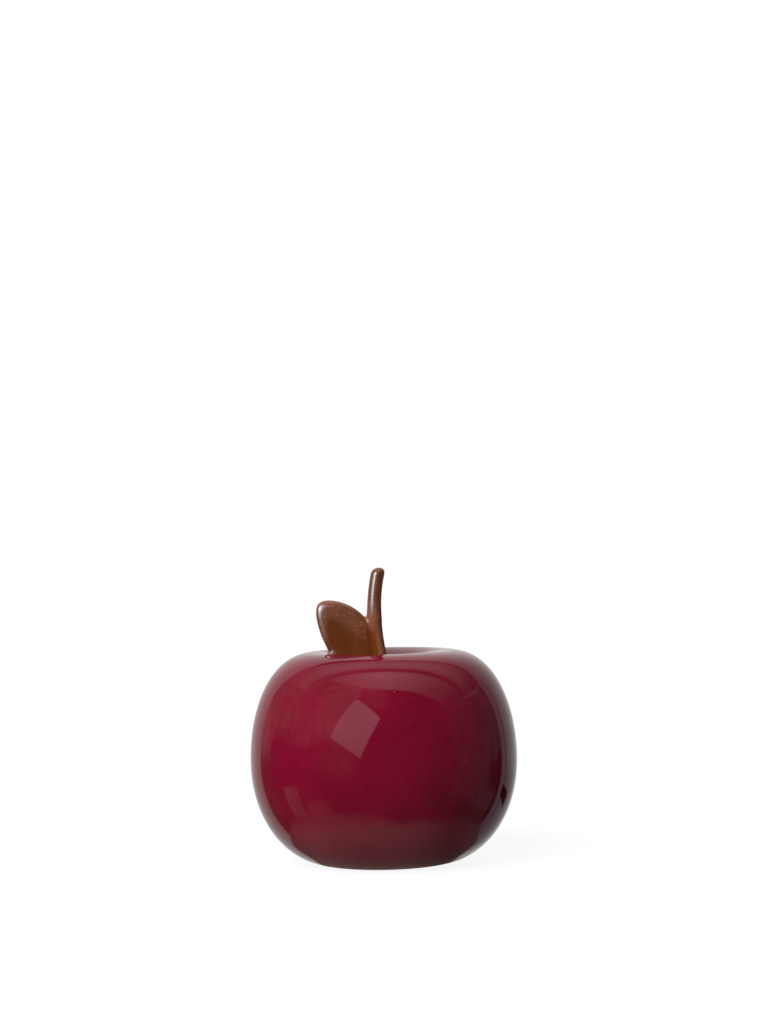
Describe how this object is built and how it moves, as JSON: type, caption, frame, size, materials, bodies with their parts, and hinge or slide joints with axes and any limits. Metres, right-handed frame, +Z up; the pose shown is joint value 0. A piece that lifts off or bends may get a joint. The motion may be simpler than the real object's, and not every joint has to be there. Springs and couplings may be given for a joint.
{
  "type": "money box",
  "caption": "Hollow glazed ceramic money box shaped as an apple, with a coin slot behind the stem, a leaf, and a soft stopper in the base.",
  "frame": {"origin": "on the table plane, in the middle of the foot ring", "axes": "+Z up along the apple's axis, -Y the side shown in the picture, +X to the right in it; the leaf points to -X and the coin slot lies at +Y"},
  "size_m": [0.11, 0.11, 0.1212],
  "materials": {
    "red_glaze": "gloss",
    "brown_glaze": "gloss",
    "soft_rubber": "satin"
  },
  "bodies": {
    "apple": {"apple_shell": "red_glaze", "stem": "brown_glaze", "leaf": "brown_glaze"},
    "plug": {"stopper": "soft_rubber"}
  },
  "joints": [
    {"name": "stopper_pull", "type": "slide", "parent": "apple", "child": "plug", "axis": [0, 0, -1], "range_m": [0, 0.018]}
  ]
}
